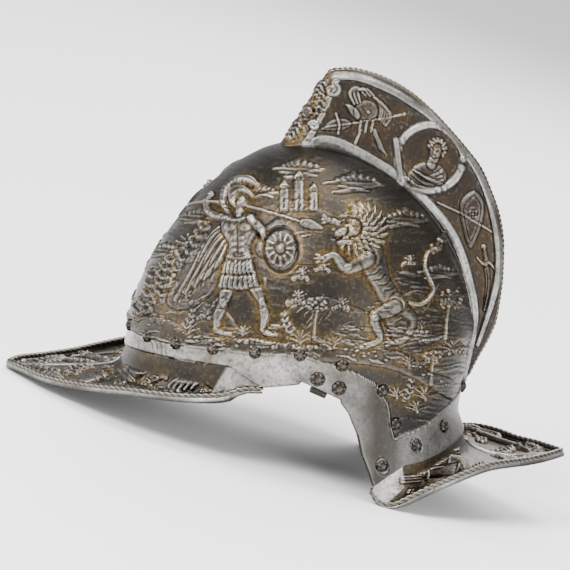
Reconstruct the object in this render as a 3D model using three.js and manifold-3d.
// A burgonet: an open-faced parade helmet of embossed steel with a tall hollow comb,
// a pointed peak over the brow and a pointed guard over the nape.
// The shell is forged in one. Rosette-headed rivets follow its lower border, and a
// hinge leaf for the lost cheek-piece is riveted inside each ear.
//
// Modelling frame: +Z up, the front towards -Y, the wearer's left towards +X.
// The fullest section of the skull is at z = 0, just under the rivets, and its middle at y = 0.
// The finished group is then tipped forward until it rests on the tip of the peak and
// the two lobes of the nape guard, as the helmet does on a table.

import * as THREE from "three";
import { mergeVertices } from "three/addons/utils/BufferGeometryUtils.js";
import Module from "manifold-3d";

const wasm = await Module();
wasm.setup();

// Driving sizes, in millimetres

// Half the length of the skull along the rivet line
const skullReach = 112;
// Half the width of the skull at the rivet line
const skullHalfWidth = 92;
// Crown of the skull above the rivet line
const skullRise = 121.5;
// Rivet line down to the foot of the ear edge
const skirtDepth = 88.2;
// Thickness of the steel
const wall = 2;
// The comb above the skull at its tallest
const combRise = 52;
// Half the width of the comb where it leaves the skull
const combFootHalf = 13;
// Half the width of the comb beside its crest
const combCrestHalf = 5.5;
// Tip of the peak ahead of the brow
const peakReach = 80.5;
// The widest place of the peak inside the skull's own half width
const peakDrawIn = 3;
// Lowest part of the peak's edge below the rivet line
const peakDrop = 28;
// Tip of the nape guard behind the back of the skull
const guardReach = 62.1;
// Lobes of the nape guard below the foot of the ear edge
const lobeDrop = 13.8;
// Radius of the roped rims
const rimRadius = 2.2;
// Space between the shell and what is riveted to it
const seatGap = 0.35;

// Rivets of the border
const rivetHeadRadius = 4.1;
const rivetHeadRise = 2.7;
const rivetShankRadius = 1.5;
const rivetTailRadius = 2.5;
const rivetTailRise = 1.1;
const rivetHoleClearance = 0.3;
// The hinge rivets are peened flush into a countersink in the leaf
const flushDepth = 1;
const flushRecess = 0.15;
// Larger heads of the hinge rivets
const hingeHeadRadius = 4.9;

// Hinge leaf and its knuckle
const leafLength = 27;
const leafAboveRivets = 5.5;
const leafBelowRivets = 6.6;
const leafThickness = 1.6;
const knuckleRadius = 2.6;
const knuckleBore = 1.1;
const knuckleLength = 10.5;
const knuckleAhead = 1.7;
const knuckleBelowLeaf = 2.3;

// How much the skull draws in towards the crown: shares of each size lost at the top
const frontLean = 0.25;
const backLean = 0.08;
const sideLean = 0.07;
// Forward flare of the brow, and how far down it takes to develop
const browFlare = 2.5;
const browFlareDepth = 14;

// Fineness of the faceted surfaces
const turnsAround = 50;
const crownRows = 9;

// Sections of the skull below the rivet line
// depth: share of skirtDepth; width: share of skullHalfWidth; back: share of skullReach;
// shift: how far the widest place lies behind the ears, as a share of skullReach
const skirtRows = [
  { depth: 0, width: 1, back: 1, shift: 0 },
  { depth: 0.227, width: 0.985, back: 0.974, shift: 0.036 },
  { depth: 0.454, width: 0.94, back: 0.937, shift: 0.107 },
  { depth: 0.64, width: 0.905, back: 0.92, shift: 0.18 },
  { depth: 0.79, width: 0.88, back: 0.955, shift: 0.22 },
  { depth: 0.907, width: 0.87, back: 0.97, shift: 0.25 },
  { depth: 1.19, width: 0.865, back: 0.98, shift: 0.268 },
];

// Lower edge of the shell from the middle of the brow, round the ear, to the nape
// turn: degrees round the skull from the brow; drop: share of skirtDepth;
// corner: where the peak ends and where the nape guard begins
const edgeRows = [
  { turn: 0, drop: 0.13 },
  { turn: 7.2, drop: 0.126 },
  { turn: 23.7, drop: 0.099 },
  { turn: 36.4, drop: 0.091 },
  { turn: 48.6, drop: 0.084 },
  { turn: 65.8, drop: 0.099 },
  { turn: 74.9, drop: 0.236, corner: "temple" },
  { turn: 86.5, drop: 0.206 },
  { turn: 87.6, drop: 0.184 },
  { turn: 91.3, drop: 0.229 },
  { turn: 99, drop: 0.327 },
  { turn: 98.6, drop: 0.349 },
  { turn: 100.3, drop: 0.444 },
  { turn: 100.2, drop: 0.601 },
  { turn: 98.9, drop: 0.755 },
  { turn: 99.7, drop: 0.947 },
  { turn: 100.5, drop: 1, corner: "lobe" },
  { turn: 108.5, drop: 0.926 },
  { turn: 117.8, drop: 0.859 },
  { turn: 126.2, drop: 0.855 },
  { turn: 136.6, drop: 0.831 },
  { turn: 150, drop: 0.8 },
  { turn: 173.4, drop: 0.793 },
  { turn: 180, drop: 0.793 },
];

// Stations of the comb from its front face to the nape, in the middle plane
// foot, crest: angles from the vertical, seen from the ear line; rise: share of combRise;
// width: share of the comb's own widths
const combRows = [
  { foot: -5.9, crest: 6, rise: 0.89, width: 0.3 },
  { foot: -4.4, crest: 7.2, rise: 0.93, width: 0.62 },
  { foot: -2.2, crest: 8.8, rise: 0.955, width: 0.85 },
  { foot: 0.6, crest: 11, rise: 0.985, width: 0.97 },
  { foot: 5, crest: 14.3, rise: 1, width: 1 },
  { foot: 11.5, crest: 18.7, rise: 1.004, width: 1 },
  { foot: 18.5, crest: 23.9, rise: 0.985, width: 0.99 },
  { foot: 25.5, crest: 29.4, rise: 0.94, width: 0.98 },
  { foot: 33, crest: 35.8, rise: 0.885, width: 0.96 },
  { foot: 40.5, crest: 42, rise: 0.85, width: 0.94 },
  { foot: 47.5, crest: 48.2, rise: 0.825, width: 0.92 },
  { foot: 54.2, crest: 54.2, rise: 0.76, width: 0.9 },
  { foot: 60.1, crest: 60.1, rise: 0.7, width: 0.88 },
  { foot: 66.9, crest: 66.9, rise: 0.605, width: 0.85 },
  { foot: 72.5, crest: 72.5, rise: 0.51, width: 0.83 },
  { foot: 77.3, crest: 77.3, rise: 0.44, width: 0.81 },
  { foot: 82.9, crest: 82.9, rise: 0.36, width: 0.78 },
  { foot: 89.3, crest: 89.3, rise: 0.285, width: 0.74 },
  { foot: 94.3, crest: 94.3, rise: 0.22, width: 0.7 },
  { foot: 100.8, crest: 100.8, rise: 0.125, width: 0.64 },
  { foot: 106, crest: 106, rise: 0.075, width: 0.56 },
  { foot: 111, crest: 111, rise: 0.03, width: 0.46 },
  { foot: 117, crest: 117, rise: -0.02, width: 0.36 },
];

// Half section of the comb from foot to crest
// rise: share of the comb's height there; blend: share of the way from foot to crest width
const combSection = [
  { rise: 0, blend: 0 },
  { rise: 0.07, blend: 0.34 },
  { rise: 0.2, blend: 0.56 },
  { rise: 0.55, blend: 0.8 },
  { rise: 0.91, blend: 1 },
];
// The roped crest: share of the crest width, and share of the comb's height
const crestSection = [
  { half: 0.86, rise: 0.955 },
  { half: 0.46, rise: 0.99 },
  { half: 0, rise: 1 },
];

// Outer edge of the peak
// turn: degrees round the brow; side: share of half the peak's width;
// reach: share of the tip's distance from the ears; drop: share of peakDrop
const peakEdge = [
  { turn: 0, side: 0, reach: 1, drop: 0.879 },
  { turn: 4.5, side: 0.104, reach: 0.972, drop: 0.871 },
  { turn: 9.5, side: 0.221, reach: 0.929, drop: 0.914 },
  { turn: 14.5, side: 0.335, reach: 0.885, drop: 0.964 },
  { turn: 19, side: 0.427, reach: 0.842, drop: 0.986 },
  { turn: 25, side: 0.539, reach: 0.779, drop: 0.996 },
  { turn: 31, side: 0.652, reach: 0.717, drop: 0.979 },
  { turn: 37, side: 0.753, reach: 0.655, drop: 0.957 },
  { turn: 43, side: 0.843, reach: 0.589, drop: 0.936 },
  { turn: 49.5, side: 0.91, reach: 0.509, drop: 0.968 },
  { turn: 57, side: 0.966, reach: 0.416, drop: 0.993 },
  { turn: 63.5, side: 0.997, reach: 0.329, drop: 0.986 },
  { turn: 68, side: 1, reach: 0.26, drop: 0.95 },
  { turn: 71.5, side: 0.997, reach: 0.203, drop: 0.843 },
];

// Outer edge of the nape guard
// side: share of skullHalfWidth; reach: share of the tip's distance from the ears;
// drop: share of the depth of the lobes
const guardEdge = [
  { turn: 101.2, side: 0.857, reach: 0.25, drop: 0.897 },
  { turn: 104, side: 0.859, reach: 0.267, drop: 0.956 },
  { turn: 108.5, side: 0.859, reach: 0.299, drop: 0.998 },
  { turn: 113, side: 0.859, reach: 0.333, drop: 1 },
  { turn: 122, side: 0.848, reach: 0.402, drop: 0.951 },
  { turn: 129, side: 0.826, reach: 0.46, drop: 0.909 },
  { turn: 137, side: 0.783, reach: 0.523, drop: 0.873 },
  { turn: 146, side: 0.679, reach: 0.62, drop: 0.832 },
  { turn: 153.5, side: 0.576, reach: 0.701, drop: 0.812 },
  { turn: 160, side: 0.467, reach: 0.775, drop: 0.819 },
  { turn: 167, side: 0.326, reach: 0.846, drop: 0.838 },
  { turn: 173.5, side: 0.196, reach: 0.92, drop: 0.845 },
  { turn: 180, side: 0, reach: 1, drop: 0.853 },
];

// How each plate leaves the skull and runs out to its edge
// out: share of the way to the edge; down: share of the drop to it
const peakRun = [
  { out: 0.02, down: 0.4 },
  { out: 0.05, down: 0.72 },
  { out: 0.1, down: 0.93 },
  { out: 0.22, down: 1.05 },
  { out: 0.5, down: 1.08 },
  { out: 0.75, down: 1.06 },
];
const guardRun = [
  { out: 0.004, down: 0.2 },
  { out: 0.03, down: 0.42 },
  { out: 0.09, down: 0.66 },
  { out: 0.17, down: 0.83 },
  { out: 0.28, down: 0.98 },
  { out: 0.42, down: 1.09 },
  { out: 0.7, down: 1.06 },
];

// Rivets of the left side, mirrored on the right
// turn: degrees round the skull; drop: share of skirtDepth below the rivet line
const rivetRows = [
  { turn: 9.5, drop: -0.049 },
  { turn: 27.8, drop: -0.036 },
  { turn: 43.6, drop: -0.033 },
  { turn: 59, drop: -0.033 },
  { turn: 73.8, drop: -0.027 },
  { turn: 88.5, drop: -0.017 },
  { turn: 101.9, drop: 0.067 },
  { turn: 115.6, drop: 0.278 },
  { turn: 119.1, drop: 0.544 },
  { turn: 106.8, drop: 0.848 },
  { turn: 126.7, drop: 0.727 },
  { turn: 148.3, drop: 0.649 },
  { turn: 173.6, drop: 0.441 },
];
const hingeRivets = [
  { turn: 93, drop: 0.162 },
  { turn: 99.6, drop: 0.235 },
];

// Steel colours
const darkSteel = new THREE.MeshStandardMaterial({ color: 0x4a443e, roughness: 0.45, metalness: 0.9 });
const rivetSteel = new THREE.MeshStandardMaterial({ color: 0x6a635b, roughness: 0.4, metalness: 0.9 });
const plainSteel = new THREE.MeshStandardMaterial({ color: 0x7d7a75, roughness: 0.5, metalness: 0.9 });

// Small helpers

const rad = (degrees) => (degrees * Math.PI) / 180;
const vec = (x, y, z) => new THREE.Vector3(x, y, z);

// Value of a column of a table at a place along another column
function lookUp(rows, key, at, column) {
  let i = 1;
  while (i < rows.length - 1 && rows[i][key] < at) i += 1;
  const a = rows[i - 1];
  const b = rows[i];
  const s = THREE.MathUtils.clamp((at - a[key]) / (b[key] - a[key]), 0, 1);
  return a[column] + s * (b[column] - a[column]);
}

// Point of the skull's outer surface at a turn in radians and a height z
function skullPoint(turn, z) {
  let front;
  let back;
  let side;
  let centre = 0;
  if (z >= 0) {
    const t = Math.min(z / skullRise, 1);
    const round = Math.sqrt(Math.max(0, 1 - t * t));
    const lean = t ** 1.3;
    front = skullReach * round * (1 - frontLean * lean);
    back = skullReach * round * (1 - backLean * lean);
    side = skullHalfWidth * round * (1 - sideLean * t);
  } else {
    const depth = -z / skirtDepth;
    centre = skullReach * lookUp(skirtRows, "depth", depth, "shift");
    side = skullHalfWidth * lookUp(skirtRows, "depth", depth, "width");
    back = skullReach * lookUp(skirtRows, "depth", depth, "back") - centre;
    front = skullReach + centre + browFlare * Math.min(1, -z / browFlareDepth);
  }
  const c = Math.cos(turn);
  return vec(side * Math.sin(turn), centre - (c > 0 ? front : back) * c, z);
}

// Outward normal of the skull's surface
function skullNormal(turn, z) {
  const step = 0.02;
  const high = Math.min(z + 1, skullRise * 0.999);
  const across = skullPoint(turn + step, z).sub(skullPoint(turn - step, z));
  const up = skullPoint(turn, high).sub(skullPoint(turn, z - 1));
  return across.cross(up).normalize();
}

// Height of the lower edge at a turn in degrees, on the brow and on the nape
const templeRow = edgeRows.findIndex((row) => row.corner === "temple");
const lobeRow = edgeRows.findIndex((row) => row.corner === "lobe");
const browRows = edgeRows.slice(0, templeRow + 1);
const napeRows = edgeRows.slice(lobeRow);
const browEdge = (turn) => -skirtDepth * lookUp(browRows, "turn", turn, "drop");
const napeEdge = (turn) => -skirtDepth * lookUp(napeRows, "turn", turn, "drop");

// Closed geometry from triangles, turned so that its faces point out
function geometryOf(points, triangles) {
  let volume = 0;
  for (const [i, j, k] of triangles) {
    volume += points[i].dot(vec().crossVectors(points[j], points[k]));
  }
  const index = volume < 0 ? triangles.map(([i, j, k]) => [i, k, j]) : triangles;
  const geometry = new THREE.BufferGeometry().setFromPoints(points);
  geometry.setIndex(index.flat());
  return geometry;
}

// Triangles that close a ring of points
function capOf(points, ring) {
  const normal = vec(0, 0, 0);
  ring.forEach((id, i) => {
    normal.add(vec().crossVectors(points[id], points[ring[(i + 1) % ring.length]]));
  });
  normal.normalize();
  const along = points[ring[1]].clone().sub(points[ring[0]]);
  along.addScaledVector(normal, -along.dot(normal)).normalize();
  const across = vec().crossVectors(normal, along);
  const flat = ring.map((id) => new THREE.Vector2(points[id].dot(along), points[id].dot(across)));
  const inside = THREE.ShapeUtils.triangulateShape(flat, []);
  return inside.map((t) => t.map((i) => ring[i]));
}

// A body lofted through rings with the same number of points, closed at both ends
function loft(rings) {
  const count = rings[0].length;
  const points = rings.flat();
  const triangles = [];
  for (let r = 0; r < rings.length - 1; r += 1) {
    for (let i = 0; i < count; i += 1) {
      const a = r * count + i;
      const b = r * count + ((i + 1) % count);
      triangles.push([a, b, b + count], [a, b + count, a + count]);
    }
  }
  const last = (rings.length - 1) * count;
  const first = rings[0].map((_, i) => i);
  const end = rings[0].map((_, i) => last + i);
  triangles.push(...capOf(points, first).map(([i, j, k]) => [i, k, j]));
  triangles.push(...capOf(points, end));
  return geometryOf(points, triangles);
}

// Solids for joining and cutting
function solidOf(geometry) {
  const bare = geometry.index ? geometry.toNonIndexed() : geometry.clone();
  bare.deleteAttribute("normal");
  bare.deleteAttribute("uv");
  const merged = mergeVertices(bare, 1e-4);
  return new wasm.Manifold(
    new wasm.Mesh({
      numProp: 3,
      vertProperties: new Float32Array(merged.attributes.position.array),
      triVerts: new Uint32Array(merged.index.array),
    }),
  );
}

function geometryFrom(solid) {
  const mesh = solid.getMesh();
  const stride = mesh.numProp;
  const positions = new Float32Array(mesh.numVert * 3);
  for (let i = 0; i < mesh.numVert; i += 1) {
    positions.set(mesh.vertProperties.subarray(i * stride, i * stride + 3), i * 3);
  }
  const geometry = new THREE.BufferGeometry();
  geometry.setAttribute("position", new THREE.BufferAttribute(positions, 3));
  geometry.setIndex(new THREE.BufferAttribute(mesh.triVerts, 1));
  return geometry;
}

// The skull

// Heights of the faceted skull's rows, from a bottom below the nape up to the crown
function rowHeights(bottom) {
  const heights = [bottom];
  for (const row of skirtRows.slice(1).reverse()) {
    const z = -skirtDepth * row.depth;
    if (z > bottom + 1) heights.push(z);
  }
  heights.push(-browFlareDepth * 0.5);
  for (let i = 0; i < crownRows; i += 1) {
    heights.push(skullRise * Math.sin((i / crownRows) * (Math.PI / 2)));
  }
  return heights.sort((a, b) => a - b);
}

// Body of the skull at a depth below its outer surface, down to a bottom below the nape
function skullBody(inset, bottom) {
  const heights = rowHeights(bottom);
  const points = [];
  for (const z of heights) {
    for (let i = 0; i < turnsAround; i += 1) {
      const turn = (i / turnsAround) * 2 * Math.PI;
      points.push(skullPoint(turn, z).addScaledVector(skullNormal(turn, z), -inset));
    }
  }
  const triangles = [];
  const rows = heights.length;
  for (let r = 0; r < rows - 1; r += 1) {
    for (let i = 0; i < turnsAround; i += 1) {
      const a = r * turnsAround + i;
      const b = r * turnsAround + ((i + 1) % turnsAround);
      triangles.push([a, b, b + turnsAround], [a, b + turnsAround, a + turnsAround]);
    }
  }
  const top = points.push(vec(0, 0, skullRise - inset)) - 1;
  const base = points.push(vec(0, 0, bottom)) - 1;
  for (let i = 0; i < turnsAround; i += 1) {
    const next = (i + 1) % turnsAround;
    triangles.push([next, i, base]);
    triangles.push([(rows - 1) * turnsAround + i, (rows - 1) * turnsAround + next, top]);
  }
  return geometryOf(points, triangles);
}

// Point on the facets of the skull, which lie a little inside its true surface
function facetPoint(turn, z) {
  const heights = rowHeights(-skirtDepth * 1.1);
  const r = heights.findIndex((height) => height > z) - 1;
  const step = (2 * Math.PI) / turnsAround;
  const i = Math.floor(turn / step);
  const row = (height) => {
    const a = skullPoint(i * step, height);
    return a.lerp(skullPoint((i + 1) * step, height), turn / step - i);
  };
  return row(heights[r]).lerp(row(heights[r + 1]), (z - heights[r]) / (heights[r + 1] - heights[r]));
}

// Everything below the lower edge, seen from the side, as one block across the skull
function belowEdge() {
  const outline = edgeRows.map((row) => {
    const p = skullPoint(rad(row.turn), -skirtDepth * row.drop);
    return new THREE.Vector2(p.y, p.z);
  });
  const far = skullReach * 2;
  const deep = -skirtDepth * 2;
  const shape = new THREE.Shape([
    new THREE.Vector2(far, deep),
    new THREE.Vector2(far, outline[outline.length - 1].y),
    ...outline.reverse(),
    new THREE.Vector2(-far, outline[outline.length - 1].y),
    new THREE.Vector2(-far, deep),
  ]);
  const span = skullHalfWidth * 2;
  const block = new THREE.ExtrudeGeometry(shape, { depth: span * 2, bevelEnabled: false });
  const turned = new THREE.Matrix4().makeBasis(vec(0, 1, 0), vec(0, 0, 1), vec(1, 0, 0));
  turned.setPosition(-span, 0, 0);
  return block.applyMatrix4(turned);
}

// The comb

// Point of the skull's middle line seen from the ear line at an angle from the vertical
function middlePoint(degrees) {
  const turn = degrees < 0 ? 0 : Math.PI;
  let low = -skirtDepth;
  let high = skullRise;
  for (let i = 0; i < 48; i += 1) {
    const z = (low + high) / 2;
    const p = skullPoint(turn, z);
    if (Math.abs(Math.atan2(p.y, p.z)) > rad(Math.abs(degrees))) low = z;
    else high = z;
  }
  return skullPoint(turn, (low + high) / 2);
}

// Ring of the comb at a station, drawn in by an inset and sunk into the skull
function combRing(row, inset, sink, turned) {
  const foot = middlePoint(row.foot + turned);
  const under = middlePoint(row.crest + turned);
  const crest = under.clone().setLength(under.length() + combRise * row.rise - inset * 1.2);
  const along = crest.clone().sub(foot);
  const height = Math.max(along.length() * Math.sign(row.rise), 0.4);
  const up = (row.rise > 0.12 ? along : foot.clone()).normalize();
  const place = (half, rise) => vec(half, 0, 0).add(foot).addScaledVector(up, rise);
  const footHalf = combFootHalf * row.width - inset;
  const crestHalf = Math.min(combCrestHalf * row.width, footHalf + inset) - inset * 0.9;
  const side = [[footHalf, -sink]];
  for (const s of combSection) {
    side.push([footHalf + (crestHalf - footHalf) * s.blend, height * s.rise]);
  }
  for (const s of crestSection) side.push([crestHalf * s.half, height * s.rise]);
  const right = side.map(([half, rise]) => place(half, rise));
  const left = side.slice(0, -1).map(([half, rise]) => place(-half, rise));
  return [...right, ...left.reverse()];
}

const combOuter = loft(combRows.map((row) => combRing(row, 0, wall * 2, 0)));
// The hollow of the comb stops where its walls would meet
const hollowRows = combRows.filter(
  (row) => combRise * row.rise > wall * 3 && combCrestHalf * row.width > wall * 1.5,
);
const hollowStep = (row, i) => (i === 0 ? wall * 0.65 : 0);
const combHollow = loft(
  hollowRows.map((row, i) => combRing(row, wall, wall * 4, hollowStep(row, i))),
);

// Peak and nape guard

// Line of a plate from the lower edge of the skull out to the plate's own edge
function plateLine(row, run, heightAt) {
  const start = skullPoint(rad(row.turn), heightAt(row.turn));
  const level = vec(row.edge.x - start.x, row.edge.y - start.y, 0);
  // A short section runs straight to its edge, a long one follows the plate's own curve
  const share = Math.min(1, level.length() / (wall * 6));
  const line = run.map((step, i) => {
    const even = (i + 1) / (run.length + 1);
    const out = even + (step.out - even) * share;
    const down = even + (step.down - even) * share;
    const z = start.z + (row.edge.z - start.z) * down;
    return vec(start.x, start.y, z).addScaledVector(level, out);
  });
  return [start, ...line, row.edge.clone()];
}

// A plate of even thickness that leaves the skull within its wall and ends in a round rim
function plate(rows, run, heightAt) {
  const half = rows.map((row) => ({ turn: row.turn, line: plateLine(row, run, heightAt) }));
  const other = rows.filter((row) => Math.abs(row.edge.x) > 1e-6).map((row) => {
    const line = plateLine(row, run, heightAt).map((p) => vec(-p.x, p.y, p.z));
    return { turn: -row.turn, line };
  });
  const sections = [...half, ...other.reverse()];
  const rings = sections.map((section, s) => {
    const { line } = section;
    const before = sections[Math.max(s - 1, 0)].line;
    const after = sections[Math.min(s + 1, sections.length - 1)].line;
    const angle = rad(section.turn);
    const height = heightAt(Math.abs(section.turn));
    const reach = line[0].distanceTo(line[line.length - 1]);
    const rim = Math.min(rimRadius, reach * 0.35);
    const thick = Math.min(wall, reach * 0.3);
    const root = (rise, depth) => {
      const p = skullPoint(angle, height + rise);
      return p.addScaledVector(skullNormal(angle, height + rise), -depth);
    };
    const top = [root(wall * 1.5, wall * 0.25), root(0.1, wall * 0.15)];
    const under = [root(wall * 1.5, wall * 0.75), root(0.1, wall * 0.85)];
    for (let i = 1; i < line.length; i += 1) {
      const flow = line[Math.min(i + 1, line.length - 1)].clone().sub(line[i - 1]).normalize();
      const across = after[i].clone().sub(before[i]);
      const rise = vec().crossVectors(flow, across).normalize();
      if (rise.dot(skullNormal(angle, height)) + rise.z < 0) rise.negate();
      if (i < line.length - 1) {
        top.push(line[i]);
        under.push(line[i].clone().addScaledVector(rise, -thick));
        continue;
      }
      const centre = line[i].clone().addScaledVector(flow, -rim).addScaledVector(rise, -thick / 2);
      for (const a of [100, 35, -35, -100]) {
        const spot = centre.clone().addScaledVector(flow, rim * Math.cos(rad(a)));
        top.push(spot.addScaledVector(rise, rim * Math.sin(rad(a))));
      }
    }
    return [...top, ...under.reverse()];
  });
  return loft(rings);
}

const peakTip = skullReach + peakReach;
const peakHalfWidth = skullHalfWidth - peakDrawIn;
const peakRows = peakEdge.map((row) => ({
  turn: row.turn,
  edge: vec(row.side * peakHalfWidth, -row.reach * peakTip, -row.drop * peakDrop),
}));
// At the temples the rim runs out into the lower edge of the skull
const templeTurn = edgeRows[templeRow].turn;
const temple = skullPoint(rad(templeTurn), browEdge(templeTurn) - rimRadius);
peakRows.push({
  turn: templeTurn - 1,
  edge: temple.addScaledVector(skullNormal(rad(templeTurn), browEdge(templeTurn)), rimRadius),
});
const peakPlate = plate(peakRows.reverse(), peakRun, browEdge);

const guardTip = skullReach + guardReach;
const guardDepth = skirtDepth + lobeDrop;
const guardRows = guardEdge.map((row) => ({
  turn: row.turn,
  edge: vec(row.side * skullHalfWidth, row.reach * guardTip, -row.drop * guardDepth),
}));
const guardPlate = plate(guardRows, guardRun, napeEdge);

// Rivets and hinges

// Frame that stands on the skull with its z axis along the outward normal
function seatOn(row, side) {
  const turn = rad(row.turn) * side;
  const z = -skirtDepth * row.drop;
  const normal = skullNormal(turn, z);
  const along = vec(0, 0, 1).cross(normal).normalize();
  const up = vec().crossVectors(normal, along);
  return new THREE.Matrix4().makeBasis(along, up, normal).setPosition(facetPoint(turn, z));
}

// How far a head must rise to clear the hollows of the facets around its seat
function liftOf(row, side, headRadius) {
  const turn = rad(row.turn) * side;
  const z = -skirtDepth * row.drop;
  const seat = facetPoint(turn, z);
  const normal = skullNormal(turn, z);
  const perTurn = facetPoint(turn + 0.01, z).distanceTo(seat) / 0.01;
  let lift = 0;
  for (let i = 0; i < 12; i += 1) {
    const a = (i / 12) * 2 * Math.PI;
    const spot = facetPoint(
      turn + (headRadius * Math.cos(a)) / perTurn,
      z + headRadius * Math.sin(a),
    );
    lift = Math.max(lift, spot.sub(seat).dot(normal));
  }
  return lift;
}

// A rivet with its head's underside at z = 0 and its clenched or flush tail below
function rivetGeometry(headRadius, grip, flush) {
  const tail = flush
    ? [[0, -grip], [rivetTailRadius, -grip], [rivetShankRadius, flushDepth - grip]]
    : [[0, -grip - rivetTailRise], [rivetTailRadius, -grip], [rivetShankRadius, -grip]];
  const profile = [
    ...tail,
    [rivetShankRadius, 0],
    [headRadius, 0],
    [headRadius * 0.8, rivetHeadRise * 0.66],
    [0, rivetHeadRise],
  ];
  const lathe = new THREE.LatheGeometry(profile.map(([r, z]) => new THREE.Vector2(r, z)), 6);
  return geometryFrom(solidOf(lathe.rotateX(Math.PI / 2)));
}

// A bar along z that cuts the hole of a rivet
function holeGeometry(length) {
  const hole = new THREE.CylinderGeometry(
    rivetShankRadius + rivetHoleClearance,
    rivetShankRadius + rivetHoleClearance,
    length,
    6,
  );
  return hole.rotateX(Math.PI / 2);
}

const rivets = [];
const holes = [];
function addRivet(name, matrix, headRadius, grip, flush) {
  rivets.push({ name, matrix, geometry: rivetGeometry(headRadius, grip, flush) });
  holes.push(solidOf(holeGeometry(wall * 8).applyMatrix4(matrix)));
}

function raised(matrix, height) {
  return matrix.clone().multiply(new THREE.Matrix4().makeTranslation(0, 0, height));
}
for (const side of [1, -1]) {
  rivetRows.forEach((row, i) => {
    const name = "rivet_" + (side > 0 ? "left_" : "right_") + String(i + 1).padStart(2, "0");
    const lift = liftOf(row, side, rivetHeadRadius) + seatGap;
    addRivet(name, raised(seatOn(row, side), lift), rivetHeadRadius, wall + lift + 2 * seatGap, false);
  });
}

// The leaf lies flat inside the curved ear, between its two rivets
const earRadius = skullReach ** 2 / skullHalfWidth;
const leafSag = leafLength ** 2 / (8 * earRadius);
const leafOuter = -(wall + seatGap + leafSag);
const hingeGrip = seatGap - leafOuter + leafThickness - flushRecess;

function hingeFrame(side) {
  const [front, back] = hingeRivets.map((row) => seatOn(row, side));
  const a = vec().setFromMatrixPosition(front);
  const b = vec().setFromMatrixPosition(back);
  const normal = vec().setFromMatrixColumn(front, 2);
  normal.add(vec().setFromMatrixColumn(back, 2)).normalize();
  const along = b.clone().sub(a);
  const spread = along.length();
  along.addScaledVector(normal, -along.dot(normal)).normalize();
  const up = vec().crossVectors(normal, along);
  const matrix = new THREE.Matrix4().makeBasis(along, up, normal);
  matrix.setPosition(a.add(b).multiplyScalar(0.5));
  return { matrix, spread };
}

// The leaf in its own frame: x runs back along the ear, z outward
function leafSolid(spread, side) {
  const down = side > 0 ? -1 : 1;
  const shape = new THREE.Shape();
  const r = leafAboveRivets * 0.6;
  const half = leafLength / 2;
  const low = down * leafBelowRivets;
  const high = -down * leafAboveRivets;
  const inner = -down * (leafAboveRivets - r);
  shape.moveTo(-half, low);
  shape.lineTo(-half, inner);
  shape.lineTo(-half + r * 0.3, inner - down * r * 0.7);
  shape.lineTo(-half + r, high);
  shape.lineTo(half - r, high);
  shape.lineTo(half - r * 0.3, inner - down * r * 0.7);
  shape.lineTo(half, inner);
  shape.lineTo(half, low);
  shape.closePath();
  const flat = new THREE.ExtrudeGeometry(shape, { depth: leafThickness, bevelEnabled: false });
  let leaf = solidOf(flat.translate(0, 0, leafOuter - leafThickness));
  // A strap carries the rolled knuckle below the lower edge of the ear
  const axisY = down * (leafBelowRivets + knuckleBelowLeaf);
  const axisZ = -(wall + seatGap + knuckleRadius);
  const strap = new THREE.BoxGeometry(knuckleLength, knuckleBelowLeaf + knuckleRadius, leafThickness);
  strap.translate(
    -knuckleAhead,
    down * (leafBelowRivets + (knuckleBelowLeaf - knuckleRadius) / 2),
    leafOuter - leafThickness / 2,
  );
  const barrel = new THREE.CylinderGeometry(knuckleRadius, knuckleRadius, knuckleLength, 12);
  barrel.rotateZ(Math.PI / 2).translate(-knuckleAhead, axisY, axisZ);
  const bore = new THREE.CylinderGeometry(knuckleBore, knuckleBore, knuckleLength * 2, 8);
  bore.rotateZ(Math.PI / 2).translate(-knuckleAhead, axisY, axisZ);
  leaf = leaf.add(solidOf(strap)).add(solidOf(barrel)).subtract(solidOf(bore));
  for (const x of [-spread / 2, spread / 2]) {
    leaf = leaf.subtract(solidOf(holeGeometry(wall * 8).translate(x, 0, 0)));
    const sink = new THREE.CylinderGeometry(
      rivetShankRadius + rivetHoleClearance,
      rivetTailRadius + rivetHoleClearance,
      flushDepth + flushRecess,
      6,
    );
    sink.rotateX(Math.PI / 2);
    sink.translate(x, 0, leafOuter - leafThickness + (flushDepth + flushRecess) / 2 - 0.01);
    leaf = leaf.subtract(solidOf(sink));
  }
  return leaf;
}

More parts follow.
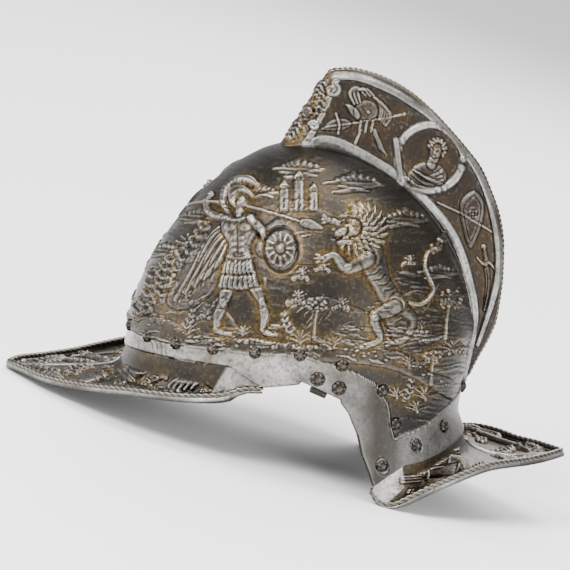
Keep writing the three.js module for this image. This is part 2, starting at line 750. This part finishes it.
const leaves = [];
for (const side of [1, -1]) {
  const { matrix, spread } = hingeFrame(side);
  const word = side > 0 ? "left" : "right";
  leaves.push({ name: "hinge_leaf_" + word, matrix, geometry: geometryFrom(leafSolid(spread, side)) });
  [-spread / 2, spread / 2].forEach((x, i) => {
    const place = matrix.clone().multiply(new THREE.Matrix4().makeTranslation(x, 0, seatGap));
    addRivet("hinge_rivet_" + word + "_" + (i + 1), place, hingeHeadRadius, hingeGrip, true);
  });
}

// The shell: skull, comb, peak and nape guard in one, hollow throughout

let shell = solidOf(skullBody(0, -skirtDepth * 1.1)).subtract(solidOf(belowEdge()));
shell = shell.add(solidOf(combOuter)).add(solidOf(peakPlate)).add(solidOf(guardPlate));
shell = shell.subtract(solidOf(skullBody(wall, -skirtDepth * 1.4)));
shell = shell.subtract(solidOf(combHollow));
for (const hole of holes) shell = shell.subtract(hole);
const shellGeometry = geometryFrom(shell);

// Resting place: tipped forward until the peak and the lobes touch the table together

const shellPoints = shellGeometry.attributes.position;
function lowest(tilt, keep) {
  let low = Infinity;
  for (let i = 0; i < shellPoints.count; i += 1) {
    const y = shellPoints.getY(i);
    if (keep(y)) {
      low = Math.min(low, y * Math.sin(tilt) + shellPoints.getZ(i) * Math.cos(tilt));
    }
  }
  return low;
}
let tilt = 0;
let steep = rad(45);
for (let i = 0; i < 50; i += 1) {
  const middle = (tilt + steep) / 2;
  if (lowest(middle, (y) => y < 0) > lowest(middle, (y) => y > 0)) tilt = middle;
  else steep = middle;
}

const posed = new THREE.Group();
posed.rotation.x = tilt;

function addMesh(name, geometry, material, matrix) {
  const mesh = new THREE.Mesh(geometry, material);
  mesh.name = name;
  if (matrix) matrix.decompose(mesh.position, mesh.quaternion, mesh.scale);
  posed.add(mesh);
}

addMesh("helmet_shell", shellGeometry, darkSteel);
for (const leaf of leaves) addMesh(leaf.name, leaf.geometry, plainSteel, leaf.matrix);
for (const rivet of rivets) addMesh(rivet.name, rivet.geometry, rivetSteel, rivet.matrix);

// The origin is the middle of the box's underside
posed.updateMatrixWorld(true);
const box = new THREE.Box3().setFromObject(posed, true);
posed.position.y = -(box.min.y + box.max.y) / 2;
posed.position.z = -box.min.z;

const burgonet = new THREE.Group();
burgonet.add(posed);

export default burgonet;
